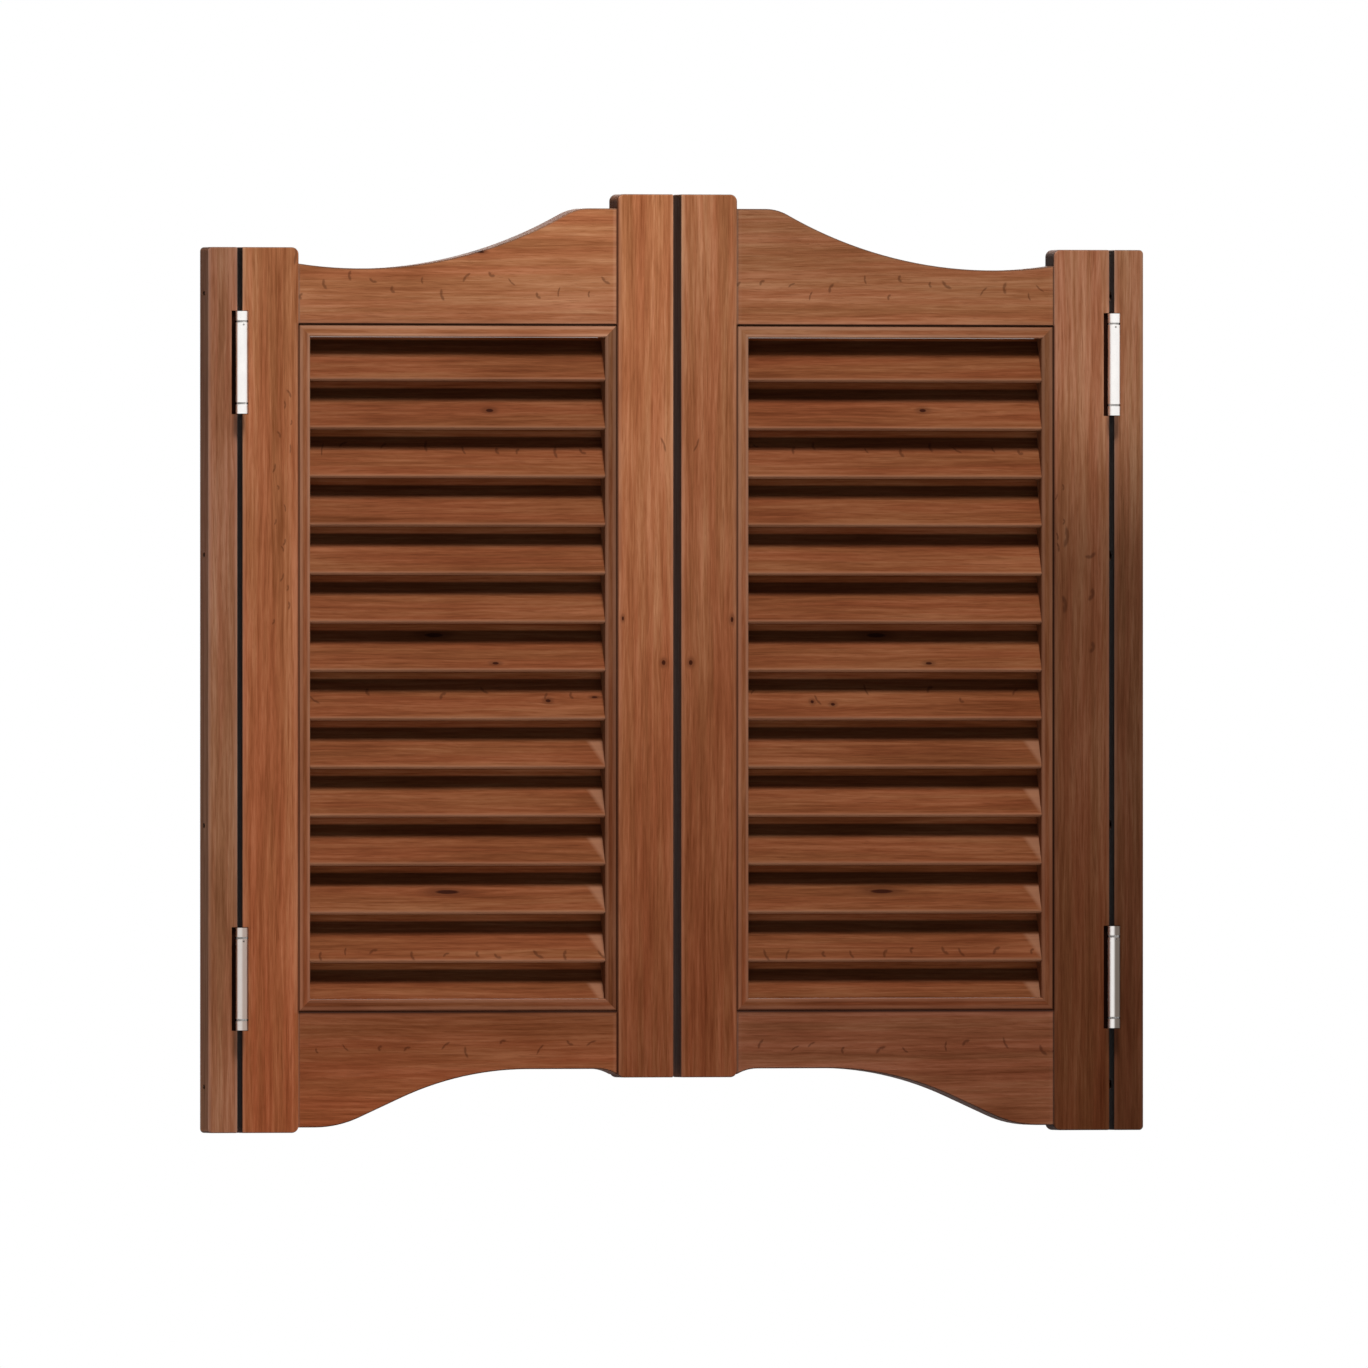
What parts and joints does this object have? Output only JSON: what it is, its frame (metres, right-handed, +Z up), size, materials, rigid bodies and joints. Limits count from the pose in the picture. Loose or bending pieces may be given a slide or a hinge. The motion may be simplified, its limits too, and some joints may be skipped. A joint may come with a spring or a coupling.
{
  "type": "cafe swinging doors",
  "caption": "Pair of louvred wooden cafe doors with swept crests, hung between two strips on double-action spring hinges.",
  "frame": {"origin": "under the middle of the pair, half way through its thickness, at the height of the strips' lower ends", "axes": "+X to the right of someone facing the front, +Y from the front to the back, +Z up"},
  "size_m": [0.96, 0.0524, 0.917],
  "materials": {
    "strip_wood": "satin oil stain, vertical grain",
    "stile_wood": "satin oil stain, vertical grain",
    "rail_wood": "satin oil stain, level grain",
    "bar_wood": "satin oil stain",
    "slat_wood": "satin oil stain, level grain",
    "hinge_steel": "satin nickel",
    "screw_steel": "satin nickel",
    "spring_steel": "oiled black wire",
    "bush_polymer": "moulded black"
  },
  "bodies": {
    "hanging_strips": {"hinge_jamb_leaves": "hinge_steel", "jamb_leaf_screws": "screw_steel", "left_hanging_strip": "strip_wood", "right_hanging_strip": "strip_wood"},
    "left_centre": {"left_centre_flanges": "hinge_steel", "left_hinge_bushes": "bush_polymer", "left_hinge_spindles": "hinge_steel", "left_hinge_springs": "spring_steel"},
    "left_door": {"left_bottom_rail": "rail_wood", "left_door_leaf_screws": "screw_steel", "left_door_leaves": "hinge_steel", "left_hinge_stile": "stile_wood", "left_louvre_bar_hinge_side": "bar_wood", "left_louvre_bar_meeting_side": "bar_wood", "left_louvre_bars_level": "bar_wood", "left_meeting_stile": "stile_wood", "left_slat_01": "slat_wood", "left_slat_02": "slat_wood", "left_slat_03": "slat_wood", "left_slat_04": "slat_wood", "left_slat_05": "slat_wood", "left_slat_06": "slat_wood", "left_slat_07": "slat_wood", "left_slat_08": "slat_wood", "left_slat_09": "slat_wood", "left_slat_10": "slat_wood", "left_slat_11": "slat_wood", "left_slat_12": "slat_wood", "left_slat_13": "slat_wood", "left_slat_14": "slat_wood", "left_top_rail": "rail_wood"},
    "right_centre": {"right_centre_flanges": "hinge_steel", "right_hinge_bushes": "bush_polymer", "right_hinge_spindles": "hinge_steel", "right_hinge_springs": "spring_steel"},
    "right_door": {"right_bottom_rail": "rail_wood", "right_door_leaf_screws": "screw_steel", "right_door_leaves": "hinge_steel", "right_hinge_stile": "stile_wood", "right_louvre_bar_hinge_side": "bar_wood", "right_louvre_bar_meeting_side": "bar_wood", "right_louvre_bars_level": "bar_wood", "right_meeting_stile": "stile_wood", "right_slat_01": "slat_wood", "right_slat_02": "slat_wood", "right_slat_03": "slat_wood", "right_slat_04": "slat_wood", "right_slat_05": "slat_wood", "right_slat_06": "slat_wood", "right_slat_07": "slat_wood", "right_slat_08": "slat_wood", "right_slat_09": "slat_wood", "right_slat_10": "slat_wood", "right_slat_11": "slat_wood", "right_slat_12": "slat_wood", "right_slat_13": "slat_wood", "right_slat_14": "slat_wood", "right_top_rail": "rail_wood"}
  },
  "joints": [
    {"name": "left_swing_to_front", "type": "hinge", "parent": "hanging_strips", "child": "left_centre", "pos_m": [-0.4475, -0.0202, 0.45085], "axis": [0, 0, -1], "range_deg": [0, 90], "stiffness_Nm_per_rad": 3, "springref_deg": -34.38},
    {"name": "left_swing_to_back", "type": "hinge", "parent": "left_centre", "child": "left_door", "pos_m": [-0.4475, 0.0202, 0.45085], "axis": [0, 0, 1], "range_deg": [0, 90], "stiffness_Nm_per_rad": 3, "springref_deg": -34.38},
    {"name": "right_swing_to_back", "type": "hinge", "parent": "hanging_strips", "child": "right_centre", "pos_m": [0.4475, 0.0202, 0.45085], "axis": [0, 0, -1], "range_deg": [0, 90], "stiffness_Nm_per_rad": 3, "springref_deg": -34.38},
    {"name": "right_swing_to_front", "type": "hinge", "parent": "right_centre", "child": "right_door", "pos_m": [0.4475, -0.0202, 0.45085], "axis": [0, 0, 1], "range_deg": [0, 90], "stiffness_Nm_per_rad": 3, "springref_deg": -34.38}
  ]
}
